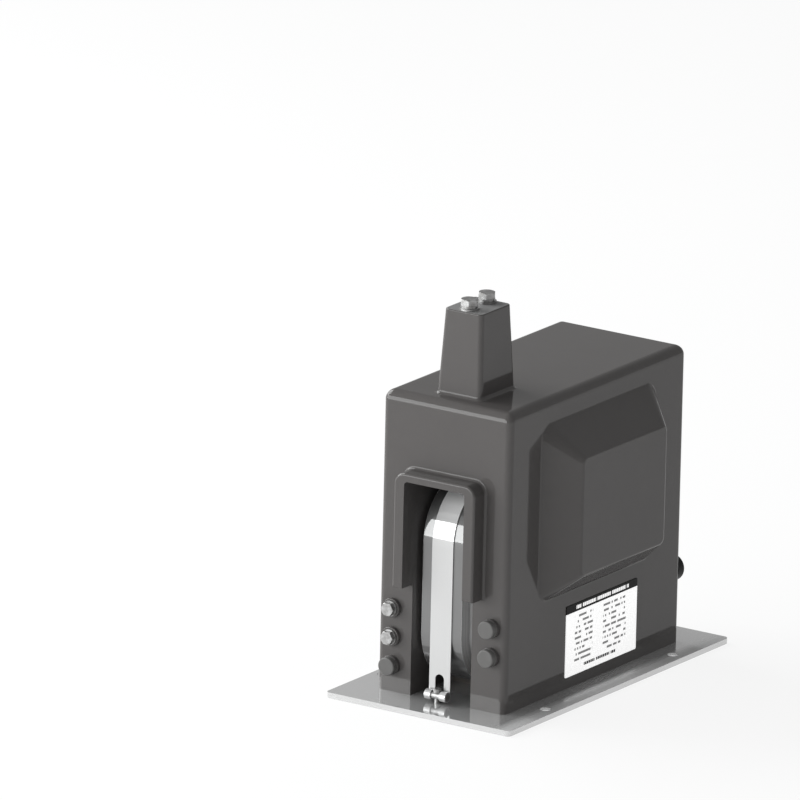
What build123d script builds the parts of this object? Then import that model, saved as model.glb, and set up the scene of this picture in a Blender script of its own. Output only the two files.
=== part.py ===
from build123d import *

import os
from math import hypot, radians, sqrt, tan

os.makedirs("parts", exist_ok=True)

# Sizes are in millimetres. X runs across the front, Y from front to back and Z up.
# The origin is the centre of the base plate's underside, and the front faces -Y.

# Base plate, which stands out all round the cast block
plate_side_margin = 33.5
plate_end_margin = 42
plate_thickness = 6
plate_corner = 5
fixing_side_margin = 12.5
fixing_end_margin = 85.5
fixing_hole = 12

# Wound core: a rounded loop of steel strip in three packets, cut in two at the middle
strip_narrow = 48
strip_wide = 64
packet_build = 14
core_inner_radius = 16
core_height = 208
core_stand_out = 0.5
pad_thickness = 12
pad_length = 40
pad_inset = 88.5

# Room that the casting leaves round the core
core_side_gap = 4
core_top_gap = 8
core_bore_gap = 8
core_end_gap = 8.5
channel_corner = 4
coil_block_corner = 8

# Windings, from the bore outwards
bore_wall = 4
tube_thickness = 2
secondary_build = 6
winding_insulation = 6
primary_build = 24
screen_thickness = 1
screen_slit = 6
coil_end_wall = 13
secondary_margin = 8
primary_inner_margin = 12
primary_outer_margin = 30
screen_margin = 4
cast_gap = 0.3

# Cast block
body_depth = 322
leg_thickness = 40.5
body_corner = 7
body_edge = 10
resin_over_coil = 24
resin_under_coil = 20

# Bulges on both sides, which cover the coil
bulge_wall = 19.5
bulge_end_cover = 6.5
bulge_top_cover = -1.5
bulge_bottom_cover = 6.5
bulge_set_back = 0.5
bulge_end_slope = 28
bulge_top_slope = 34
bulge_bottom_slope = 27
bulge_root_corner = 17
bulge_face_corner = 7
bulge_edge = 4
bulge_root_fillet = 3

# Hoods over the core at the front and the back
hood_projection = 20
hood_leg_width = 12
hood_roof = 8.5
hood_leg_length = 112
hood_corner = 12
hood_edge = 2.5
hood_root_fillet = 3

# High voltage post
post_side_wall = 12.5
post_end_wall = 3
post_side_taper = 4
post_end_taper = 5
post_height = 88
post_setback = 20
post_corner = 5
post_edge = 1.5
post_foot_fillet = 4

# High voltage terminal insert and its lead
hv_bolt_pitch = 32
hv_bush_diameter = 16
hv_bush_height = 10
hv_bar_width = 20
hv_bar_thickness = 14
hv_bar_corner = 5
hv_hole_depth = 20
hv_bolt_length = 22
hv_lead_diameter = 6
hv_lead_bend = 14
hv_lead_run = 30

# Hexagon fasteners and washers, large on the post and small elsewhere
hv_thread = 10
hv_across_flats = 16
hv_head = 6.4
hv_washer_diameter = 20
hv_washer_thickness = 2
spring_washer_diameter = 17
spring_washer_thickness = 2.5
spring_washer_split = 1.5
small_thread = 8
small_across_flats = 13
small_head = 5.3
small_washer_diameter = 16
small_washer_thickness = 1.6
thread_gap = 0.1
washer_gap = 0.4
crown_angle = 30
shank_chamfer = 1

# Secondary terminals in two columns on the front
terminal_inset = 17.5
terminal_low = 28
terminal_pitch = 30
boss_diameter = 20
boss_height = 4.5
boss_edge = 0.8
insert_diameter = 12
insert_length = 18
insert_hole_depth = 15
terminal_screw_length = 14
plug_diameter = 19
plug_height = 6.5
plug_stem_length = 12
plug_edge = 1.5

# Leads cast into the left front leg
lead_diameter = 4
lead_bend = 8
lead_pitch = 12
lead_spread = 9
earth_lead_drop = 20

# Round plug at the back
rear_plug_diameter = 28
rear_plug_height = 12
rear_plug_edge = 2
rear_stem_diameter = 16
rear_stem_length = 14
rear_plug_inset = 16.5
rear_plug_above_plate = 73

# Core band with a rolled eye at each end, its cross pins and its screws
band_width = 25
band_thickness = 1.2
band_slot_width = 10.5
band_slot_top = 29
trunnion_diameter = 8
trunnion_length = 26
trunnion_above_plate = 8
trunnion_flat = 0.8
eye_gap = 0.1
band_thread = 5
band_head_diameter = 8.5
band_head = 4
band_socket_across = 4
band_socket_depth = 2
screw_end_gap = 0.5

# Inserts and countersunk screws that hold the casting to the plate
foot_screw_inset = 36
foot_insert_diameter = 14
foot_insert_length = 20
foot_hole_depth = 18
foot_screw_length = 20
foot_head_diameter = 16
foot_head_angle = 90

# Rating plate on the right side
label_length = 130
label_thickness = 0.8
label_above_plate = 12
label_below_bulge = 16
label_set_back = 14
label_corner = 1.5

# Earthing screw on the plate's back margin
earth_side_margin = 30
earth_back_margin = 18

# Core, and the channel that the casting leaves for it
plate_top = plate_thickness
core_build = 3 * packet_build
core_outer_radius = core_inner_radius + core_build
core_length = body_depth + 2 * core_stand_out
core_bottom = plate_top + pad_thickness
core_top = core_bottom + core_height
core_middle = core_bottom + core_height / 2
pad_spacing = core_length - 2 * pad_inset
channel_width = strip_wide + 2 * core_side_gap
channel_top = core_top + core_top_gap
bore_floor = core_top - core_build - core_bore_gap
coil_block_half = core_length / 2 - core_build - core_end_gap

# Windings
coil_height = (channel_top + bore_floor) / 2
tube_inner = hypot(channel_width / 2, (channel_top - bore_floor) / 2) + bore_wall
tube_outer = tube_inner + tube_thickness
secondary_inner = tube_outer + cast_gap
secondary_outer = secondary_inner + secondary_build
primary_inner = secondary_outer + winding_insulation
primary_outer = primary_inner + primary_build
screen_inner = primary_outer + cast_gap
screen_outer = screen_inner + screen_thickness
tube_half = coil_block_half - coil_end_wall
secondary_half = tube_half - secondary_margin
primary_inner_half = tube_half - primary_inner_margin
primary_outer_half = tube_half - primary_outer_margin
screen_half = primary_outer_half - screen_margin
channel_ceiling = coil_height - screen_outer - resin_under_coil

# Casting
body_width = channel_width + 2 * leg_thickness
body_side = body_width / 2
body_front = -body_depth / 2
body_top = coil_height + screen_outer + resin_over_coil
bulge_projection = screen_outer + bulge_wall - body_side
bulge_root_top = coil_height + screen_outer + bulge_top_cover
bulge_root_bottom = coil_height - screen_outer - bulge_bottom_cover
bulge_root_height = bulge_root_top - bulge_root_bottom
bulge_root_middle = (bulge_root_top + bulge_root_bottom) / 2
bulge_root_length = 2 * (tube_half + bulge_end_cover)
bulge_face_height = bulge_root_height - bulge_top_slope - bulge_bottom_slope
bulge_face_middle = bulge_root_middle + (bulge_bottom_slope - bulge_top_slope) / 2
bulge_face_length = bulge_root_length - 2 * bulge_end_slope
hood_width = channel_width + 2 * hood_leg_width
hood_bottom = channel_top - hood_leg_length
hood_height = hood_leg_length + hood_roof

# High voltage post and terminal
hv_bar_length = hv_bolt_pitch + hv_bush_diameter
post_top_width = hv_bar_width + 2 * post_side_wall
post_top_length = hv_bar_length + 2 * post_end_wall
post_width = post_top_width + 2 * post_side_taper
post_length = post_top_length + 2 * post_end_taper
post_middle = body_front + post_setback + post_length / 2
post_top = body_top + post_height
hv_bar_bottom = hv_bush_height + hv_bar_thickness
hv_lead_top = post_top - hv_bar_bottom
hv_lead_height = coil_height + screen_outer + cast_gap + hv_lead_diameter / 2
hv_lead_end = hv_lead_run - screen_half

# Secondary terminals
terminal_x = body_side - terminal_inset
earth_terminal = plate_top + terminal_low
low_terminal = earth_terminal + terminal_pitch
high_terminal = low_terminal + terminal_pitch
insert_back = body_front - boss_height + insert_length
live_places = [(-terminal_x, high_terminal), (-terminal_x, low_terminal)]
insert_places = live_places + [(-terminal_x, earth_terminal)]
blank_places = [(terminal_x, high_terminal), (terminal_x, low_terminal)]
plug_places = blank_places + [(-terminal_x, earth_terminal)]
rear_plug_place = (rear_plug_inset - body_side, plate_top + rear_plug_above_plate)
secondary_middle = (secondary_inner + secondary_outer) / 2
earth_lead_radius = primary_inner + lead_diameter / 2

# Band, pins and feet
band_inside = core_length / 2
band_outside = band_inside + band_thickness
band_slot_arch = plate_top + band_slot_top - band_slot_width / 2
eye_inner = trunnion_diameter / 2 + eye_gap
eye_outer = eye_inner + band_thickness
eye_y = band_outside + eye_inner
eye_height = plate_top + trunnion_above_plate
trunnion_seat = trunnion_diameter / 2 - trunnion_flat
band_screw_length = eye_height + trunnion_seat - screw_end_gap
foot_spacing_x = channel_width + leg_thickness
foot_spacing_y = body_depth - 2 * foot_screw_inset
foot_head_depth = foot_head_diameter / 2 - cast_gap - small_thread / 2

# Base plate and rating plate
plate_width = body_width + 2 * plate_side_margin
plate_length = body_depth + 2 * plate_end_margin
fixing_spacing_x = plate_width - 2 * fixing_side_margin
fixing_spacing_y = plate_length - 2 * fixing_end_margin
label_height = bulge_root_bottom - label_below_bulge - label_above_plate - plate_top
earth_place = (earth_side_margin - plate_width / 2, plate_length / 2 - earth_back_margin)
earth_screw_length = small_washer_thickness + plate_thickness - screw_end_gap

# Planes and axes that several pieces share
plate_deck = Plane.XY.offset(plate_top)
plate_seat = Plane((0, 0, plate_top), x_dir=(1, 0, 0), z_dir=(0, 0, -1))
underside = Plane((0, 0, 0), x_dir=(1, 0, 0), z_dir=(0, 0, -1))
front_face = Plane((0, body_front, 0), x_dir=(1, 0, 0), z_dir=(0, -1, 0))
boss_face = front_face.offset(boss_height)
back_face = Plane((0, -body_front, 0), x_dir=(-1, 0, 0), z_dir=(0, 1, 0))
right_face = Plane((body_side, 0, 0), x_dir=(0, 1, 0), z_dir=(1, 0, 0))
post_deck = Plane((0, post_middle, post_top))
coil_axis = Axis((0, 0, coil_height), (0, 1, 0))


def coil_ring(inner, outer, inner_half, outer_half, gap=0.0):
    """Half section of a ring about the coil axis: its half lengths inside and outside, grown by gap."""
    low = coil_height + inner
    high = coil_height + outer
    with BuildSketch(Plane.YZ) as section:
        with BuildLine():
            Polyline(
                (-inner_half, low),
                (inner_half, low),
                (outer_half, high),
                (-outer_half, high),
                close=True,
            )
        make_face()
        if gap:
            offset(amount=gap, kind=Kind.INTERSECTION)
    return section.sketch


def tube_section(gap=0.0):
    return coil_ring(tube_inner, tube_outer, tube_half, tube_half, gap)


def secondary_section(gap=0.0):
    return coil_ring(secondary_inner, secondary_outer, secondary_half, secondary_half, gap)


def primary_section(gap=0.0):
    return coil_ring(primary_inner, primary_outer, primary_inner_half, primary_outer_half, gap)


def screen_section(gap=0.0):
    return coil_ring(screen_inner, screen_outer, screen_half, screen_half, gap)


def core_loop(depth):
    """Outline of the core seen from the side, at a depth below its outer surface, as Y and Z."""
    with BuildSketch() as loop:
        with Locations((0, core_middle)):
            RectangleRounded(core_length - 2 * depth, core_height - 2 * depth, core_outer_radius - depth)
    return loop.sketch


def lead_route(points, bend):
    """Middle line of a cast-in lead: straight runs joined by arcs of one radius."""
    with BuildLine() as route:
        FilletPolyline(*points, radius=bend)
    return route.line


def lead_section(route, diameter):
    """Round section that stands square across the start of a lead's route."""
    with BuildSketch(Plane(origin=route @ 0, z_dir=route % 0)) as section:
        Circle(diameter / 2)
    return section.sketch


def terminal_route(radius, rise, winding_front, step, height):
    """Route from a winding's front end, at a radius and a rise from the coil axis, to an insert."""
    start_x = -sqrt(radius**2 - rise**2)
    drop_y = insert_back + step * lead_pitch
    points = [
        (start_x, winding_front, coil_height + rise),
        (start_x, drop_y, coil_height + rise),
        (-terminal_x, drop_y, height),
        (-terminal_x, insert_back, height),
    ]
    return lead_route(points, lead_bend)


def hexagon_bolt(across_flats, head, thread, length):
    """Hexagon bolt with its seat at Z 0, its crowned head above and its shank below."""
    corner = across_flats / sqrt(3)
    crown = across_flats / 2
    fall = (corner - crown) * tan(radians(crown_angle))
    with BuildPart() as bolt:
        with BuildSketch():
            RegularPolygon(radius=crown, side_count=6, major_radius=False)
        extrude(amount=head)
        with BuildSketch(Plane.XZ):
            with BuildLine():
                Polyline(
                    (0, 0), (corner, 0), (corner, head - fall), (crown, head), (0, head), close=True
                )
            make_face()
        revolve(axis=Axis.Z, mode=Mode.INTERSECT)
        with BuildSketch():
            Circle(thread / 2)
        extrude(amount=-length)
        chamfer(bolt.edges().group_by(Axis.Z)[0], length=shank_chamfer)
    return bolt.part


def washer(outside, thread, thickness):
    """Plain washer that lies on Z 0."""
    with BuildPart() as ring:
        with BuildSketch():
            Circle(outside / 2)
            Circle(thread / 2 + washer_gap, mode=Mode.SUBTRACT)
        extrude(amount=thickness)
    return ring.part


def threaded_insert(diameter, length, hole_depth):
    """Round insert with its mouth at Z 0 and a blind threaded hole down into it."""
    with BuildPart() as insert:
        with BuildSketch():
            Circle(diameter / 2)
        extrude(amount=-length)
        with BuildSketch():
            Circle(small_thread / 2 + thread_gap)
        extrude(amount=-hole_depth, mode=Mode.SUBTRACT)
    return insert.part


def stemmed_plug(diameter, height, edge, stem_diameter, stem_length):
    """Round plug with its seat at Z 0, a flange with a rounded rim above and a stem below."""
    with BuildPart() as plug:
        with BuildSketch():
            Circle(diameter / 2)
        extrude(amount=height)
        fillet(plug.edges().group_by(Axis.Z)[-1], radius=edge)
        with BuildSketch():
            Circle(stem_diameter / 2)
        extrude(amount=-stem_length)
    return plug.part


def terminal_bar(gap=0.0):
    """Bar across the post with two bushes up to the post's top, grown by gap below and all round."""
    with BuildPart() as bar:
        with BuildSketch(post_deck.offset(-hv_bush_height + gap)):
            RectangleRounded(hv_bar_width + 2 * gap, hv_bar_length + 2 * gap, hv_bar_corner + gap)
        extrude(amount=-hv_bar_thickness - 2 * gap)
        with BuildSketch(post_deck):
            with GridLocations(0, hv_bolt_pitch, 1, 2):
                Circle(hv_bush_diameter / 2 + gap)
        extrude(amount=-hv_bar_bottom)
    return bar.part


high_route = terminal_route(secondary_middle, lead_spread, -secondary_half, 1, high_terminal)
low_route = terminal_route(secondary_middle, -lead_spread, -secondary_half, 2, low_terminal)
earth_route = terminal_route(
    earth_lead_radius, -earth_lead_drop, -primary_inner_half, 3, earth_terminal
)
hv_corners = [
    (0, post_middle, hv_lead_top), (0, post_middle, hv_lead_height), (0, hv_lead_end, hv_lead_height)
]
hv_route = lead_route(hv_corners, hv_lead_bend)
bar_cavity = terminal_bar(cast_gap)
bar_blank = terminal_bar()
hv_bolt = hexagon_bolt(hv_across_flats, hv_head, hv_thread, hv_bolt_length)
hv_washer = washer(hv_washer_diameter, hv_thread, hv_washer_thickness)
terminal_screw = hexagon_bolt(small_across_flats, small_head, small_thread, terminal_screw_length)
ground_screw = hexagon_bolt(small_across_flats, small_head, small_thread, earth_screw_length)
small_washer = washer(small_washer_diameter, small_thread, small_washer_thickness)
terminal_insert = threaded_insert(insert_diameter, insert_length, insert_hole_depth)
foot_insert = threaded_insert(foot_insert_diameter, foot_insert_length, foot_hole_depth)
blind_plug = stemmed_plug(plug_diameter, plug_height, plug_edge, small_thread, plug_stem_length)
back_plug = stemmed_plug(
    rear_plug_diameter, rear_plug_height, rear_plug_edge, rear_stem_diameter, rear_stem_length
)

# Right bulge of the casting: a rounded outline that narrows to a flat face
with BuildPart() as bulge:
    with BuildSketch(right_face):
        with Locations((bulge_set_back, bulge_root_middle)):
            RectangleRounded(bulge_root_length, bulge_root_height, bulge_root_corner)
    with BuildSketch(right_face.offset(bulge_projection)):
        with Locations((bulge_set_back, bulge_face_middle)):
            RectangleRounded(bulge_face_length, bulge_face_height, bulge_face_corner)
    loft(ruled=True)
    fillet(bulge.faces().sort_by(Axis.X)[-1].edges(), radius=bulge_edge)

# Front hood of the casting, before the channel is cut through it
with BuildPart() as hood:
    with BuildSketch(front_face) as hood_outline:
        with Locations((0, hood_bottom)):
            Rectangle(hood_width, hood_height, align=(Align.CENTER, Align.MIN))
        fillet(hood_outline.vertices().group_by(Axis.Y)[-1], radius=hood_corner)
    extrude(amount=hood_projection)
    fillet(hood.faces().sort_by(Axis.Y)[0].edges(), radius=hood_edge)

# Tapered high voltage post of the casting
with BuildPart() as post:
    with BuildSketch(post_deck.offset(-post_height)):
        RectangleRounded(post_width, post_length, post_corner)
    with BuildSketch(post_deck):
        RectangleRounded(post_top_width, post_top_length, post_corner)
    loft(ruled=True)
    fillet(post.faces().sort_by(Axis.Z)[-1].edges(), radius=post_edge)

# Terminal boss of the casting
with BuildPart() as boss:
    with BuildSketch():
        Circle(boss_diameter / 2)
    extrude(amount=boss_height)
    fillet(boss.edges().group_by(Axis.Z)[-1], radius=boss_edge)

# Room for the core: open at the front, at the back and below, round the coil in the middle
with BuildPart() as core_channel:
    with BuildSketch(Plane.YZ):
        Rectangle(2 * body_depth, channel_top, align=(Align.CENTER, Align.MIN))
        with Locations((0, (channel_ceiling + bore_floor) / 2)):
            RectangleRounded(
                2 * coil_block_half, bore_floor - channel_ceiling, coil_block_corner, mode=Mode.SUBTRACT
            )
    extrude(amount=channel_width / 2, both=True)
    fillet(core_channel.edges().filter_by(Axis.Y).group_by(Axis.Z)[-1], radius=channel_corner)

# Cast resin body: one casting with its post, bulges, hoods and terminal bosses
with BuildPart() as cast_body:
    with BuildSketch(plate_deck):
        RectangleRounded(body_width, body_depth, body_corner)
    extrude(amount=body_top - plate_top)
    fillet(cast_body.faces().sort_by(Axis.Z)[-1].edges(), radius=body_edge)
    add(post.part)
    body_deck = cast_body.faces().filter_by(Axis.Z).sort_by(Axis.Z)[-2]
    fillet(body_deck.inner_wires().edges(), radius=post_foot_fillet)
    add(bulge.part)
    side_wall = cast_body.faces().filter_by(Axis.X).sort_by(Axis.X)[-2]
    fillet(side_wall.inner_wires().edges(), radius=bulge_root_fillet)
    split(bisect_by=Plane.YZ)
    mirror(about=Plane.YZ)
    add(hood.part)
    mirror(hood.part, about=Plane.XZ)
    end_walls = cast_body.faces().filter_by(Axis.Y).sort_by(Axis.Y)[1:3]
    fillet(end_walls[0].inner_wires().edges() + end_walls[1].inner_wires().edges(), hood_root_fillet)
    add(core_channel.part, mode=Mode.SUBTRACT)
    with Locations(front_face):
        with Locations(*insert_places, *blank_places):
            add(boss.part)
    with BuildSketch(boss_face):
        with Locations(*insert_places):
            Circle(insert_diameter / 2 + cast_gap)
    extrude(amount=-insert_length, mode=Mode.SUBTRACT)
    with BuildSketch(boss_face):
        with Locations(*blank_places):
            Circle(small_thread / 2 + thread_gap)
    extrude(amount=-insert_hole_depth, mode=Mode.SUBTRACT)
    with BuildSketch(back_face):
        with Locations(rear_plug_place):
            Circle(rear_stem_diameter / 2 + cast_gap)
    extrude(amount=-rear_stem_length - cast_gap, mode=Mode.SUBTRACT)
    with BuildSketch(plate_deck):
        with GridLocations(foot_spacing_x, foot_spacing_y, 2, 2):
            Circle(foot_insert_diameter / 2 + cast_gap)
    extrude(amount=foot_insert_length, mode=Mode.SUBTRACT)
    revolve(tube_section(cast_gap), axis=coil_axis, mode=Mode.SUBTRACT)
    revolve(secondary_section(cast_gap), axis=coil_axis, mode=Mode.SUBTRACT)
    revolve(primary_section(cast_gap), axis=coil_axis, mode=Mode.SUBTRACT)
    revolve(screen_section(cast_gap), axis=coil_axis, mode=Mode.SUBTRACT)
    add(bar_cavity, mode=Mode.SUBTRACT)
    sweep(lead_section(hv_route, hv_lead_diameter + 2 * cast_gap), path=hv_route, mode=Mode.SUBTRACT)
    for route in (high_route, low_route, earth_route):
        sweep(lead_section(route, lead_diameter + 2 * cast_gap), path=route, mode=Mode.SUBTRACT)
cast_body.part.label = "cast_body"
export_step(cast_body.part, "parts/cast_body.step")

# Base plate: fixing holes in its side margins, countersunk holes under the legs, and
# threaded holes for the band screws and the earthing screw
with BuildPart() as base_plate:
    with BuildSketch():
        RectangleRounded(plate_width, plate_length, plate_corner)
    extrude(amount=plate_thickness)
    with GridLocations(fixing_spacing_x, fixing_spacing_y, 2, 2):
        Hole(fixing_hole / 2)
    with GridLocations(0, 2 * eye_y, 1, 2):
        Hole(band_thread / 2 + thread_gap)
    with Locations(earth_place):
        Hole(small_thread / 2 + thread_gap)
    with Locations(underside):
        with GridLocations(foot_spacing_x, foot_spacing_y, 2, 2):
            CounterSinkHole(
                small_thread / 2 + thread_gap, foot_head_diameter / 2, counter_sink_angle=foot_head_angle
            )
base_plate.part.label = "base_plate"
export_step(base_plate.part, "parts/base_plate.step")

# Wound core, whose middle packet is wider than the inner and the outer one
with BuildPart() as wound_core:
    for layer, strip_width in enumerate((strip_narrow, strip_wide, strip_narrow)):
        with BuildSketch(Plane.YZ):
            add(core_loop(layer * packet_build))
            add(core_loop((layer + 1) * packet_build), mode=Mode.SUBTRACT)
        extrude(amount=strip_width / 2, both=True)

# Front half of the core
with BuildPart() as core_front_half:
    add(wound_core.part)
    split(bisect_by=Plane.XZ)
core_front_half.part.label = "core_front_half"
export_step(core_front_half.part, "parts/core_front_half.step")

# Rear half of the core
with BuildPart() as core_rear_half:
    add(wound_core.part)
    split(bisect_by=Plane.XZ, keep=Keep.BOTTOM)
core_rear_half.part.label = "core_rear_half"
export_step(core_rear_half.part, "parts/core_rear_half.step")

# Pads that the core's lower limb rests on
with BuildPart() as core_pads:
    with BuildSketch(plate_deck):
        with GridLocations(0, pad_spacing, 1, 2):
            Rectangle(strip_wide, pad_length)
    extrude(amount=pad_thickness)
core_pads.part.label = "core_pads"
export_step(core_pads.part, "parts/core_pads.step")

# Band over the core: down both ends to a rolled eye, which a slot splits in two knuckles
with BuildPart() as core_band:
    with BuildSketch(Plane.YZ):
        add(core_loop(-band_thickness))
        add(core_loop(0), mode=Mode.SUBTRACT)
        with Locations((0, core_middle)):
            Rectangle(2 * band_outside, core_middle, align=(Align.CENTER, Align.MAX), mode=Mode.SUBTRACT)
        with Locations((0, eye_height)):
            with GridLocations(2 * band_inside + band_thickness, 0, 2, 1):
                Rectangle(band_thickness, core_middle - eye_height, align=(Align.CENTER, Align.MIN))
            with GridLocations(2 * eye_y, 0, 2, 1):
                Circle(eye_outer)
                Circle(eye_inner, mode=Mode.SUBTRACT)
    extrude(amount=band_width / 2, both=True)
    with BuildSketch(Plane.XZ):
        Rectangle(band_slot_width, band_slot_arch, align=(Align.CENTER, Align.MIN))
        with Locations((0, band_slot_arch)):
            Circle(band_slot_width / 2)
    extrude(amount=eye_y + eye_outer, both=True, mode=Mode.SUBTRACT)
core_band.part.label = "core_band"
export_step(core_band.part, "parts/core_band.step")

# Cross pin in a rolled eye, with a flat between the knuckles for the screw's head
with BuildPart() as trunnion:
    with BuildSketch(Plane.YZ):
        Circle(trunnion_diameter / 2)
    extrude(amount=trunnion_length / 2, both=True)
    with BuildSketch(Plane.XY.offset(trunnion_seat)):
        Rectangle(band_slot_width, trunnion_diameter)
    extrude(amount=trunnion_flat, mode=Mode.SUBTRACT)
    with Locations((0, 0, trunnion_seat)):
        Hole(band_thread / 2 + thread_gap)

# Cross pins
with BuildPart() as band_trunnions:
    with Locations(Plane.XY.offset(eye_height)):
        with GridLocations(0, 2 * eye_y, 1, 2):
            add(trunnion.part)
band_trunnions.part.label = "band_trunnions"
export_step(band_trunnions.part, "parts/band_trunnions.step")

# Socket head screws that draw the cross pins down to the plate
with BuildPart() as band_screws:
    with BuildSketch(Plane.XY.offset(eye_height + trunnion_seat)):
        with GridLocations(0, 2 * eye_y, 1, 2):
            Circle(band_head_diameter / 2)
    extrude(amount=band_head)
    with BuildSketch(Plane.XY.offset(eye_height + trunnion_seat + band_head)):
        with GridLocations(0, 2 * eye_y, 1, 2):
            RegularPolygon(radius=band_socket_across / 2, side_count=6, major_radius=False)
    extrude(amount=-band_socket_depth, mode=Mode.SUBTRACT)
    with BuildSketch(Plane.XY.offset(eye_height + trunnion_seat)):
        with GridLocations(0, 2 * eye_y, 1, 2):
            Circle(band_thread / 2)
    extrude(amount=-band_screw_length)
band_screws.part.label = "band_screws"
export_step(band_screws.part, "parts/band_screws.step")

# Tube that the secondary is wound on
with BuildPart() as winding_tube:
    revolve(tube_section(), axis=coil_axis)
winding_tube.part.label = "winding_tube"
export_step(winding_tube.part, "parts/winding_tube.step")

# Secondary winding
with BuildPart() as secondary_winding:
    revolve(secondary_section(), axis=coil_axis)
secondary_winding.part.label = "secondary_winding"
export_step(secondary_winding.part, "parts/secondary_winding.step")

# Primary winding, whose outer layers are shorter than its inner ones
with BuildPart() as primary_winding:
    revolve(primary_section(), axis=coil_axis)
primary_winding.part.label = "primary_winding"
export_step(primary_winding.part, "parts/primary_winding.step")

# Outer screen round the primary, slit along its underside
with BuildPart() as outer_screen:
    revolve(screen_section(), axis=coil_axis)
    with BuildSketch(Plane.XY.offset(coil_height)):
        Rectangle(screen_slit, 2 * screen_half)
    extrude(amount=-screen_outer, mode=Mode.SUBTRACT)
outer_screen.part.label = "outer_screen"
export_step(outer_screen.part, "parts/outer_screen.step")

# High voltage lead, from the terminal down the post and along the screen
with BuildPart() as high_voltage_lead:
    sweep(lead_section(hv_route, hv_lead_diameter), path=hv_route)
high_voltage_lead.part.label = "high_voltage_lead"
export_step(high_voltage_lead.part, "parts/high_voltage_lead.step")

# High voltage terminal: a bar with two threaded bushes, cast into the post's top
with BuildPart() as high_voltage_terminal:
    add(bar_blank)
    with BuildSketch(post_deck):
        with GridLocations(0, hv_bolt_pitch, 1, 2):
            Circle(hv_thread / 2 + thread_gap)
    extrude(amount=-hv_hole_depth, mode=Mode.SUBTRACT)
high_voltage_terminal.part.label = "high_voltage_terminal"
export_step(high_voltage_terminal.part, "parts/high_voltage_terminal.step")

# Plain washers on the post
with BuildPart() as high_voltage_washers:
    with Locations(post_deck):
        with GridLocations(0, hv_bolt_pitch, 1, 2):
            add(hv_washer)
high_voltage_washers.part.label = "high_voltage_washers"
export_step(high_voltage_washers.part, "parts/high_voltage_washers.step")

# Spring washers on the plain ones, each split on its outer side
with BuildPart() as high_voltage_spring_washers:
    with BuildSketch(post_deck.offset(hv_washer_thickness)):
        with GridLocations(0, hv_bolt_pitch, 1, 2):
            Circle(spring_washer_diameter / 2)
            Circle(hv_thread / 2 + washer_gap, mode=Mode.SUBTRACT)
            with Locations((spring_washer_diameter / 2, 0)):
                Rectangle(spring_washer_diameter, spring_washer_split, mode=Mode.SUBTRACT)
    extrude(amount=spring_washer_thickness)
high_voltage_spring_washers.part.label = "high_voltage_spring_washers"
export_step(high_voltage_spring_washers.part, "parts/high_voltage_spring_washers.step")

# Bolts of the high voltage terminal
with BuildPart() as high_voltage_bolts:
    with Locations(post_deck.offset(hv_washer_thickness + spring_washer_thickness)):
        with GridLocations(0, hv_bolt_pitch, 1, 2):
            add(hv_bolt)
high_voltage_bolts.part.label = "high_voltage_bolts"
export_step(high_voltage_bolts.part, "parts/high_voltage_bolts.step")

# Leads from the secondary to the two upper terminals on the left
with BuildPart() as secondary_leads:
    for route in (high_route, low_route):
        sweep(lead_section(route, lead_diameter), path=route)
secondary_leads.part.label = "secondary_leads"
export_step(secondary_leads.part, "parts/secondary_leads.step")

# Lead from the primary's earth end to the lowest terminal on the left
with BuildPart() as earth_end_lead:
    sweep(lead_section(earth_route, lead_diameter), path=earth_route)
earth_end_lead.part.label = "earth_end_lead"
export_step(earth_end_lead.part, "parts/earth_end_lead.step")

# Threaded inserts of the left terminals
with BuildPart() as terminal_inserts:
    with Locations(boss_face):
        with Locations(*insert_places):
            add(terminal_insert)
terminal_inserts.part.label = "terminal_inserts"
export_step(terminal_inserts.part, "parts/terminal_inserts.step")

# Washers of the two live terminals
with BuildPart() as terminal_washers:
    with Locations(boss_face):
        with Locations(*live_places):
            add(small_washer)
terminal_washers.part.label = "terminal_washers"
export_step(terminal_washers.part, "parts/terminal_washers.step")

# Screws of the two live terminals
with BuildPart() as terminal_screws:
    with Locations(boss_face.offset(small_washer_thickness)):
        with Locations(*live_places):
            add(terminal_screw)
terminal_screws.part.label = "terminal_screws"
export_step(terminal_screws.part, "parts/terminal_screws.step")

# Blind plugs in the bosses that are not in use
with BuildPart() as blind_plugs:
    with Locations(boss_face):
        with Locations(*plug_places):
            add(blind_plug)
blind_plugs.part.label = "blind_plugs"
export_step(blind_plugs.part, "parts/blind_plugs.step")

# Round plug at the back
with BuildPart() as rear_plug:
    with Locations(back_face):
        with Locations(rear_plug_place):
            add(back_plug)
rear_plug.part.label = "rear_plug"
export_step(rear_plug.part, "parts/rear_plug.step")

# Threaded inserts cast into the four feet
with BuildPart() as foot_inserts:
    with Locations(plate_seat):
        with GridLocations(foot_spacing_x, foot_spacing_y, 2, 2):
            add(foot_insert)
foot_inserts.part.label = "foot_inserts"
export_step(foot_inserts.part, "parts/foot_inserts.step")

# Countersunk screw with its flat at Z 0 and its point upwards
with BuildPart() as foot_screw:
    with BuildSketch():
        Circle(small_thread / 2)
    extrude(amount=foot_screw_length)
    with BuildSketch():
        Circle(foot_head_diameter / 2 - cast_gap)
    extrude(amount=foot_head_depth, taper=foot_head_angle / 2)

# Countersunk screws from below the plate into the feet
with BuildPart() as plate_screws:
    with GridLocations(foot_spacing_x, foot_spacing_y, 2, 2):
        add(foot_screw.part)
plate_screws.part.label = "plate_screws"
export_step(plate_screws.part, "parts/plate_screws.step")

# Rating plate
with BuildPart() as rating_plate:
    with BuildSketch(right_face):
        with Locations((label_set_back, plate_top + label_above_plate)):
            with Locations((0, label_height / 2)):
                RectangleRounded(label_length, label_height, label_corner)
    extrude(amount=label_thickness)
rating_plate.part.label = "rating_plate"
export_step(rating_plate.part, "parts/rating_plate.step")

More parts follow.
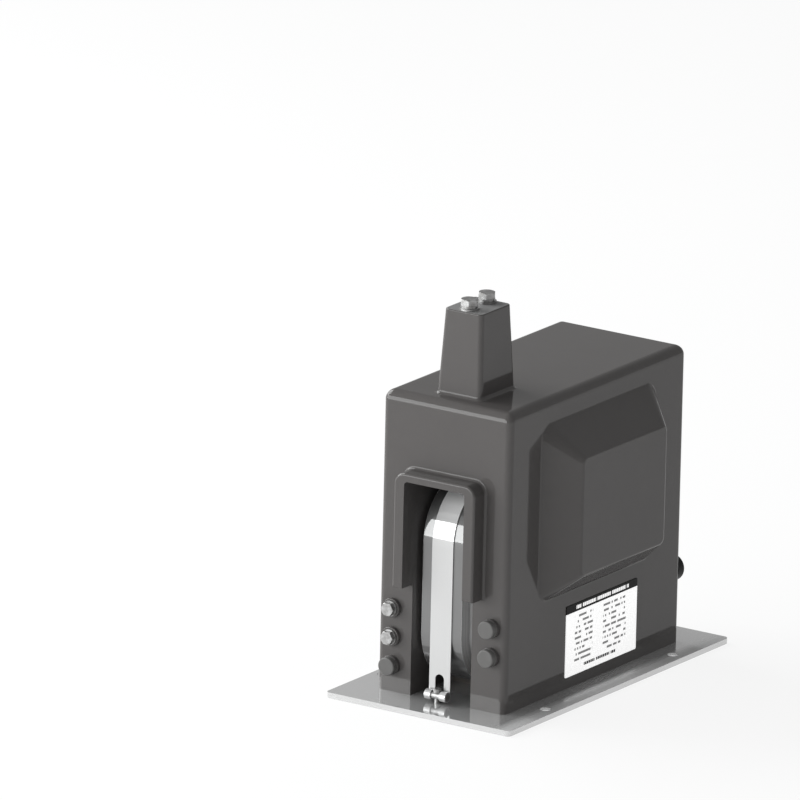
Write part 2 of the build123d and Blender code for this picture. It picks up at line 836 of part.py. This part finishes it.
# Washer of the earthing screw
with BuildPart() as earth_washer:
    with Locations(plate_deck):
        with Locations(earth_place):
            add(small_washer)
earth_washer.part.label = "earth_washer"
export_step(earth_washer.part, "parts/earth_washer.step")

# Earthing screw
with BuildPart() as earth_screw:
    with Locations(plate_deck.offset(small_washer_thickness)):
        with Locations(earth_place):
            add(ground_screw)
earth_screw.part.label = "earth_screw"
export_step(earth_screw.part, "parts/earth_screw.step")
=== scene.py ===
import math

import bpy
import numpy as np
from mathutils import Matrix, Vector


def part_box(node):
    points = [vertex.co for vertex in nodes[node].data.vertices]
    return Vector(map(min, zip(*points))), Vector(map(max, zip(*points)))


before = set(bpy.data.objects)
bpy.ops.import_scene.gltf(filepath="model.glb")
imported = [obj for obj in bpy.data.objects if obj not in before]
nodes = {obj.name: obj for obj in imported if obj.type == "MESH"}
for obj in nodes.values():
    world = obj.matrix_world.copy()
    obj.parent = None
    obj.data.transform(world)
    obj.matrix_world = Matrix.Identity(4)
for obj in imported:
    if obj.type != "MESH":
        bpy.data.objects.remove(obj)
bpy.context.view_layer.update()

MM = 0.001

# Places read from the frame
plate_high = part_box("base_plate")[1]
casting_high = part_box("cast_body")[1]
core_low, core_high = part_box("core_front_half")
label_low, label_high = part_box("rating_plate")

# Sizes of the core that its box does not give
core_corner_radius = 58 * MM
narrow_half_width = 23.9 * MM
layer_thickness = 0.6 * MM


class Value:
    """One output of a node. Python arithmetic on it adds the Math nodes that work it out."""

    def __init__(self, finish, socket):
        self.finish = finish
        self.socket = socket

    def _math(self, operation, *operands):
        return self.finish.node("ShaderNodeMath", {"operation": operation}, dict(enumerate(operands)))

    def __add__(self, other):
        return self._math("ADD", self, other)

    def __sub__(self, other):
        return self._math("SUBTRACT", self, other)

    def __rsub__(self, other):
        return self._math("SUBTRACT", other, self)

    def __mul__(self, other):
        return self._math("MULTIPLY", self, other)

    def __truediv__(self, other):
        return self._math("DIVIDE", self, other)

    def __rtruediv__(self, other):
        return self._math("DIVIDE", other, self)

    def __mod__(self, other):
        return self._math("MODULO", self, other)

    def __rmod__(self, other):
        return self._math("MODULO", other, self)

    def __abs__(self):
        return self._math("ABSOLUTE", self)

    def __gt__(self, other):
        return self._math("GREATER_THAN", self, other)

    def __lt__(self, other):
        return self._math("LESS_THAN", self, other)

    __radd__ = __add__
    __rmul__ = __mul__

    def floor(self):
        return self._math("FLOOR", self)

    def sqrt(self):
        return self._math("SQRT", self)

    def larger(self, other):
        return self._math("MAXIMUM", self, other)

    def smaller(self, other):
        return self._math("MINIMUM", self, other)

    def within(self, low, high):
        """1 between low and high, and 0 outside."""
        return (self > low) * (self < high)

    def ramp(self, low, high):
        """Straight rise from 0 at low to 1 at high, flat outside."""
        return self.finish.node("ShaderNodeMapRange", {"clamp": True}, {0: self, 1: low, 2: high})

    def spread(self, at_zero, at_one):
        """Straight change from the first number where this is 0 to the second where it is 1."""
        return self * (at_one - at_zero) + at_zero


class Finish:
    """A material under construction, with one Principled shader and its node tree."""

    def __init__(self, name, **constants):
        self.material = bpy.data.materials.new(name)
        self.material.use_nodes = True
        self.tree = self.material.node_tree
        self.tree.nodes.clear()
        self.shader = self.tree.nodes.new("ShaderNodeBsdfPrincipled")
        self.surface = self.tree.nodes.new("ShaderNodeOutputMaterial").inputs["Surface"]
        self.tree.links.new(self.shader.outputs[0], self.surface)
        for socket, constant in constants.items():
            self.shader.inputs[socket.replace("_", " ")].default_value = constant
        self.place = self.node("ShaderNodeTexCoord", output="Object")

    def node(self, kind, settings=None, inputs=None, output=0):
        """Adds a node, sets its settings, then its inputs by name or number, and gives an output."""
        made = self.tree.nodes.new(kind)
        for setting, choice in (settings or {}).items():
            setattr(made, setting, choice)
        for socket, given in (inputs or {}).items():
            if isinstance(given, Value):
                self.tree.links.new(given.socket, made.inputs[socket])
            else:
                made.inputs[socket].default_value = given
        return Value(self, made.outputs[output])

    def feed(self, socket, value):
        """Links a value to one of the shader's inputs."""
        self.tree.links.new(value.socket, self.shader.inputs[socket])

    def axes(self):
        """X, Y and Z of the surface point, in metres."""
        return [self.node("ShaderNodeSeparateXYZ", inputs={0: self.place}, output=axis) for axis in "XYZ"]

    def stretched(self, x, y, z):
        """The surface point with its axes scaled by x, y and z, which draws a pattern out."""
        scale = {"Vector": self.place, "Scale": (x, y, z)}
        return self.node("ShaderNodeMapping", {"vector_type": "POINT"}, scale)

    def noise(self, scale, detail=2.0, roughness=0.5, place=None):
        """Cloudy pattern from 0 to 1 with so many clouds to the metre."""
        inputs = {"Vector": place or self.place, "Scale": scale, "Detail": detail, "Roughness": roughness}
        return self.node("ShaderNodeTexNoise", inputs=inputs)

    def drawn(self, x, y, z, detail=4.0):
        """Streaky pattern from 0 to 1, with x, y and z streaks to the metre along those axes."""
        return self.noise(1.0, detail, 0.6, self.stretched(x, y, z))

    def blend(self, factor, first, second):
        """Colour from first to second as factor goes from 0 to 1."""
        inputs = {0: factor, 6: first, 7: second}
        return self.node("ShaderNodeMix", {"data_type": "RGBA"}, inputs, output=2)

    def relief(self, height, distance):
        """Feeds the normal with a relief of that height, in metres from its 0 to its 1."""
        bump = self.node("ShaderNodeBump", inputs={"Height": height, "Distance": distance}, output="Normal")
        self.feed("Normal", bump)


def grey(level, warmth=0.0):
    """A linear grey, with warmth added to red and taken from blue."""
    return (level * (1 + warmth), level, level * (1 - warmth), 1.0)


def cast_resin():
    """Glossy cast resin: faint clouds of filler, a shallow flow relief, and the post's end ground matt."""
    finish = Finish("cast_resin", Specular_IOR_Level=0.0, Coat_Roughness=0.07)
    filler = finish.noise(9.0, detail=3.0) * 0.7 + finish.noise(60.0, detail=4.0, roughness=0.6) * 0.3
    dark_resin, light_resin = (0.0745, 0.070, 0.0685, 1), (0.0805, 0.076, 0.0745, 1)
    resin_tone = finish.blend(filler.ramp(0.3, 0.7), dark_resin, light_resin)
    ground = finish.axes()[2] > casting_high.z - 0.2 * MM
    finish.feed("Base Color", finish.blend(ground, resin_tone, grey(0.21)))
    finish.feed("Coat Weight", ground.spread(0.66, 0.16))
    finish.feed("Roughness", finish.noise(25.0).ramp(0.2, 0.8).spread(0.4, 0.52))
    flow = finish.noise(14.0, detail=1.0) * 0.7 + finish.noise(45.0, detail=0.0) * 0.1
    finish.relief(flow, 0.4 * MM)
    return finish.material


def plate_steel():
    """Polished rolled steel: fine grain drawn out along the plate, turning matt and less metallic towards
    one long edge. That strip is painted light: it shows lighter than the dark body side it would mirror.
    """
    painted_light_strip_start = plate_high.x - 20 * MM
    painted_light_strip_full = plate_high.x - 6 * MM
    top_skin = 0.4 * MM
    finish = Finish("plate_steel", Specular_IOR_Level=0.0)
    grain = finish.drawn(1500.0, 18.0, 40.0)
    haze = finish.noise(7.0, detail=3.0)
    x, _, z = finish.axes()
    # Painted light: the matt strip on the long edge at the body's right side shows lighter than its mirror
    # of the dark body side would.
    painted_light_strip = x.ramp(painted_light_strip_start, painted_light_strip_full) * (z > plate_high.z - top_skin)
    clouds = haze.ramp(0.25, 0.75)
    polished_tone = finish.blend(clouds, grey(0.66), grey(0.72))
    # Tone of the painted light strip, less metallic so it shows lighter.
    painted_light_strip_tone = finish.blend(clouds, grey(0.51), grey(0.57))
    finish.feed("Base Color", finish.blend(painted_light_strip, polished_tone, painted_light_strip_tone))
    finish.feed("Metallic", haze.ramp(0.2, 0.8) * 0.06 + painted_light_strip.spread(0.72, 0.12))
    finish.feed("Roughness", grain * 0.05 + haze * 0.04 + painted_light_strip.spread(0.05, 0.35))
    finish.relief(grain, 0.01 * MM)
    return finish.material


def wound_steel():
    """Wound core strip: its edges show the layers as fine lines that run round the loop.

    The depth of a point in the winding is the corner radius less the point's distance from the
    rounded loop's centre line of corners. Every layer thickness of depth has a tone of its own.
    """
    finish = Finish("wound_steel", Coat_Weight=1.0, Coat_IOR=2.0, Coat_Roughness=0.06)
    x, y, z = finish.axes()
    middle = (core_low.z + core_high.z) / 2
    half_height = (core_high.z - core_low.z) / 2
    half_length = -core_low.y
    along = (abs(y) - (half_length - core_corner_radius)).larger(0.0)
    up = (abs(z - middle) - (half_height - core_corner_radius)).larger(0.0)
    depth = core_corner_radius - (along * along + up * up).sqrt()
    layer = (depth / layer_thickness).floor()
    layers = finish.node("ShaderNodeTexWhiteNoise", {"noise_dimensions": "1D"}, {"W": layer})
    stain = finish.noise(12.0, detail=4.0, roughness=0.6)
    rolled = finish.drawn(900.0, 8.0, 8.0, detail=3.0)
    edge = abs(x) > narrow_half_width
    face_tone = finish.blend(stain, grey(0.095), grey(0.14))
    edge_tone = finish.blend(layers, grey(0.38), grey(0.60))
    finish.feed("Base Color", finish.blend(edge, face_tone, edge_tone))
    finish.feed("Metallic", edge.spread(1.0, 0.25))
    finish.feed("Roughness", rolled * 0.08 + stain * 0.06 + 0.56)
    finish.relief(edge * layers * 0.8 + rolled * 0.1, 0.05 * MM)
    return finish.material


def band_steel():
    """Bright strip, brushed along its length, with a painted highlight where it bends over the core: its
    tone lightens towards the top.
    """
    # The painted highlight over the bend starts and is full at these heights.
    painted_highlight_start = core_high.z - 30 * MM
    painted_highlight_full = core_high.z - 18 * MM
    finish = Finish("band_steel", Metallic=1.0, Coat_Weight=1.0, Coat_IOR=2.6, Coat_Roughness=0.04)
    brushed = finish.drawn(2600.0, 14.0, 14.0)
    brushed_tone = finish.blend(brushed, grey(0.49), grey(0.54))
    # Painted highlight: the tone turns much lighter over the bend at the top of the core, standing in for
    # the light the bend catches.
    painted_bend_highlight = finish.axes()[2].ramp(painted_highlight_start, painted_highlight_full)
    finish.feed("Base Color", finish.blend(painted_bend_highlight, brushed_tone, grey(0.79)))
    finish.feed("Roughness", brushed.spread(0.72, 0.78))
    finish.relief(brushed, 0.006 * MM)
    return finish.material


def zinc():
    """Zinc plated fasteners: bright, slightly cloudy, with faint tool marks."""
    finish = Finish("zinc", Metallic=1.0)
    clouds = finish.noise(260.0, detail=3.0)
    tool_marks = finish.noise(900.0)
    finish.feed("Base Color", finish.blend(clouds.ramp(0.3, 0.7), grey(0.23, 0.02), grey(0.42)))
    finish.feed("Roughness", clouds.spread(0.36, 0.48))
    finish.relief(tool_marks, 0.01 * MM)
    return finish.material


def dark_plastic(name, level, gloss):
    """Moulded plastic with a fine grain, of that grey level and gloss."""
    warmth = 0.02
    finish = Finish(name, Specular_IOR_Level=gloss)
    grain = finish.noise(1400.0)
    clouds = finish.noise(120.0, detail=3.0)
    dark_tone, light_tone = grey(level * 0.9, warmth), grey(level * 1.12, warmth)
    finish.feed("Base Color", finish.blend(clouds, dark_tone, light_tone))
    finish.feed("Roughness", grain.spread(0.38, 0.48))
    finish.relief(grain, 0.03 * MM)
    return finish.material


def plain_metal(name, dull, bright, roughness):
    """Metal that is turned, drawn or wound: two tones in fine clouds."""
    finish = Finish(name, Metallic=1.0)
    clouds = finish.noise(180.0, detail=3.0)
    finish.feed("Base Color", finish.blend(clouds, dull, bright))
    finish.feed("Roughness", clouds.spread(roughness, roughness + 0.15))
    return finish.material


def board():
    """Laminated pressboard in flat layers."""
    finish = Finish("board", Roughness=0.75)
    layers = finish.drawn(30.0, 30.0, 900.0, detail=3.0)
    finish.feed("Base Color", finish.blend(layers, grey(0.05, 0.1), grey(0.09, 0.12)))
    finish.relief(layers, 0.08 * MM)
    return finish.material


def rating_sheet():
    """White coated sheet that glows, which is painted light: its white parts give off light of their own. A
    black strip along its top and plain bars in rows below, as on a filled form.

    Sizes run from the sheet's upper left corner, and across and down are measured from there.
    """
    header_height = 8.5 * MM
    heading_rows, heading_columns = (2.4 * MM, 6.2 * MM), (18 * MM, 114 * MM)
    foot_rows, foot_columns = (65.8 * MM, 68.8 * MM), (34 * MM, 92 * MM)
    block_pitch, block_width = 3.3 * MM, 2.7 * MM
    group_pitch, group_gap = 27 * MM, 2.5 * MM
    rows_top, rows_bottom = 13 * MM, 62 * MM
    row_pitch, bar_height_share = 5.7 * MM, 0.42
    left_column, right_column = (16 * MM, 49 * MM), (68 * MM, 110 * MM)
    dash_pitch, empty_share = 2.3 * MM, 0.4

    # Painted light: emission is switched on here, so the sheet glows though it is no lamp.
    finish = Finish("rating_sheet", Specular_IOR_Level=0.1, Emission_Strength=1.0)
    _, y, z = finish.axes()
    across = y - label_low.y
    down = label_high.z - z
    header = down < header_height
    blocks = (across % block_pitch < block_width) * (across % group_pitch > group_gap)
    heading = down.within(*heading_rows) * across.within(*heading_columns) * blocks
    rows_down = (down - rows_top) / row_pitch
    row = rows_down.floor()
    in_row = (rows_down - row).within(0.0, bar_height_share)
    dash = finish.node("ShaderNodeCombineXYZ", inputs={0: (across / dash_pitch).floor(), 1: row})
    chance = finish.node("ShaderNodeTexWhiteNoise", {"noise_dimensions": "2D"}, {"Vector": dash})
    columns = across.within(*left_column) + across.within(*right_column)
    bars = in_row * (chance > empty_share) * columns * down.within(rows_top, rows_bottom)
    foot = down.within(*foot_rows) * across.within(*foot_columns) * blocks
    black = (header * (1.0 - heading) + bars * 0.8 + foot).smaller(1.0)
    finish.feed("Base Color", finish.blend(black, grey(0.86), grey(0.004)))
    # Painted light: the white parts glow, so the sheet shows white even in the shade on the side of the
    # body.
    finish.feed("Emission Color", finish.blend(black, grey(0.6), grey(0.0)))
    finish.feed("Roughness", finish.noise(300.0).spread(0.35, 0.45))
    return finish.material


def clothe():
    """Gives each piece of the frame its finish."""
    copper = plain_metal("enamelled_copper", (0.32, 0.10, 0.04, 1), (0.48, 0.18, 0.08, 1), 0.25)
    brass = plain_metal("turned_brass", (0.52, 0.36, 0.14, 1), (0.66, 0.48, 0.2, 1), 0.22)
    sheet = plain_metal("screen_sheet", grey(0.5), grey(0.68), 0.3)
    finishes = {
        cast_resin(): ["cast_body"],
        plate_steel(): ["base_plate"],
        wound_steel(): ["core_front_half", "core_rear_half"],
        band_steel(): ["core_band"],
        board(): ["core_pads", "winding_tube"],
        copper: ["primary_winding", "secondary_winding", "secondary_leads", "earth_end_lead",
                 "high_voltage_lead"],
        brass: ["terminal_inserts", "foot_inserts", "high_voltage_terminal"],
        sheet: ["outer_screen"],
        rating_sheet(): ["rating_plate"],
        dark_plastic("blind_plug_plastic", 0.095, 0.35): ["blind_plugs"],
        dark_plastic("rear_plug_plastic", 0.008, 0.12): ["rear_plug"],
        zinc(): ["high_voltage_bolts", "high_voltage_washers", "high_voltage_spring_washers",
                 "terminal_screws", "terminal_washers", "plate_screws", "earth_screw", "earth_washer",
                 "band_trunnions", "band_screws"],
    }
    for material, names in finishes.items():
        for name in names:
            mesh = nodes[name].data
            mesh.materials.clear()
            mesh.materials.append(material)


def stage_floor():
    """Round pale floor: white to the camera and in reflections, with the object's shadow kept.

    Its rim is a circle: the radius times the cosine and the sine of angles evenly round it.
    """
    radius = 60.0
    corners = 64
    white_share = 0.86
    ring = np.linspace(0, 2 * math.pi, corners + 1)[:-1]
    points = np.stack([np.cos(ring) * radius, np.sin(ring) * radius, np.zeros_like(ring)], axis=1)
    mesh = bpy.data.meshes.new("floor")
    mesh.from_pydata(points.tolist(), [], [list(range(corners))])
    floor = bpy.data.objects.new("floor", mesh)
    bpy.context.scene.collection.objects.link(floor)
    finish = Finish("floor_paper", Roughness=0.9, Specular_IOR_Level=0.0)
    seen = finish.node("ShaderNodeLightPath", output="Is Camera Ray")
    seen = seen.larger(finish.node("ShaderNodeLightPath", output="Is Glossy Ray"))
    seen = seen.larger(finish.node("ShaderNodeLightPath", output="Is Transmission Ray"))
    finish.feed("Base Color", finish.blend(finish.noise(1.5), grey(0.84), grey(0.88)))
    glow = finish.node("ShaderNodeEmission", inputs={"Color": grey(1.0), "Strength": 1.0})
    paper = Value(finish, finish.shader.outputs[0])
    both = finish.node("ShaderNodeMixShader", inputs={0: seen * white_share, 1: paper, 2: glow})
    finish.tree.links.new(both.socket, finish.surface)
    mesh.materials.append(finish.material)


def softbox(name, direction, distance, width, height, level, aim):
    """Flat lamp at a distance in a direction from its aim, of that brightness over its whole face."""
    lamp = bpy.data.lights.new(name, "AREA")
    lamp.color = (0.985, 1.0, 1.0)
    lamp.shape = "RECTANGLE"
    lamp.size = width
    lamp.size_y = height
    lamp.energy = level * math.pi * width * height
    box = bpy.data.objects.new(name, lamp)
    toward = Vector(direction).normalized()
    facing = toward.to_track_quat("Z", "Y").to_matrix().to_4x4()
    box.matrix_world = Matrix.Translation(Vector(aim) + toward * distance) @ facing
    bpy.context.scene.collection.objects.link(box)


def light_stage():
    """Soft light: a low panel at the left front, one high at the left and an even grey room."""
    room_level = 0.43
    softbox("low_panel", (-0.545, -0.839, 0.0), 2.6, 3.5, 1.35, level=5.1, aim=(0, 0, 0.68))
    softbox("left_panel", (-0.85, -0.05, 0.53), 3.0, 2.4, 2.2, level=6.1, aim=(0, 0, 0.2))
    world = bpy.data.worlds.new("room")
    world.use_nodes = True
    background = world.node_tree.nodes["Background"]
    background.inputs["Color"].default_value = grey(1.0)
    background.inputs["Strength"].default_value = room_level
    bpy.context.scene.world = world
    bpy.context.scene.view_settings.view_transform = "Standard"


def place_camera():
    """Long lens at the photograph's angle: the aim point falls at its place in the 800 x 800 frame."""
    azimuth = math.radians(33.248)
    elevation = math.radians(16.307)
    roll = math.radians(1.32)
    frame_pixels = 800
    focal_pixels = 20000
    pixels_per_metre = 995
    aim = Vector((0, 0.0015, 0.170))
    aim_across, aim_down = 532.95, 507.97
    back = Vector((
        math.sin(azimuth) * math.cos(elevation),
        -math.cos(azimuth) * math.cos(elevation),
        math.sin(elevation),
    ))
    level_right = Vector((math.cos(azimuth), math.sin(azimuth), 0))
    level_up = back.cross(level_right)
    right = math.cos(roll) * level_right + math.sin(roll) * level_up
    up = math.cos(roll) * level_up - math.sin(roll) * level_right
    distance = focal_pixels / pixels_per_metre
    metres_per_pixel = distance / focal_pixels
    eye = aim + back * distance
    eye -= right * (aim_across - frame_pixels / 2) * metres_per_pixel
    eye += up * (aim_down - frame_pixels / 2) * metres_per_pixel
    lens = bpy.data.cameras.new("camera")
    lens.sensor_width = 36.0
    lens.lens = lens.sensor_width * focal_pixels / frame_pixels
    lens.clip_start = 1.0
    lens.clip_end = 200.0
    camera = bpy.data.objects.new("camera", lens)
    turned = Matrix((right, up, back)).transposed().to_4x4()
    camera.matrix_world = Matrix.Translation(eye) @ turned
    bpy.context.scene.collection.objects.link(camera)
    bpy.context.scene.camera = camera


clothe()
stage_floor()
light_stage()
place_camera()
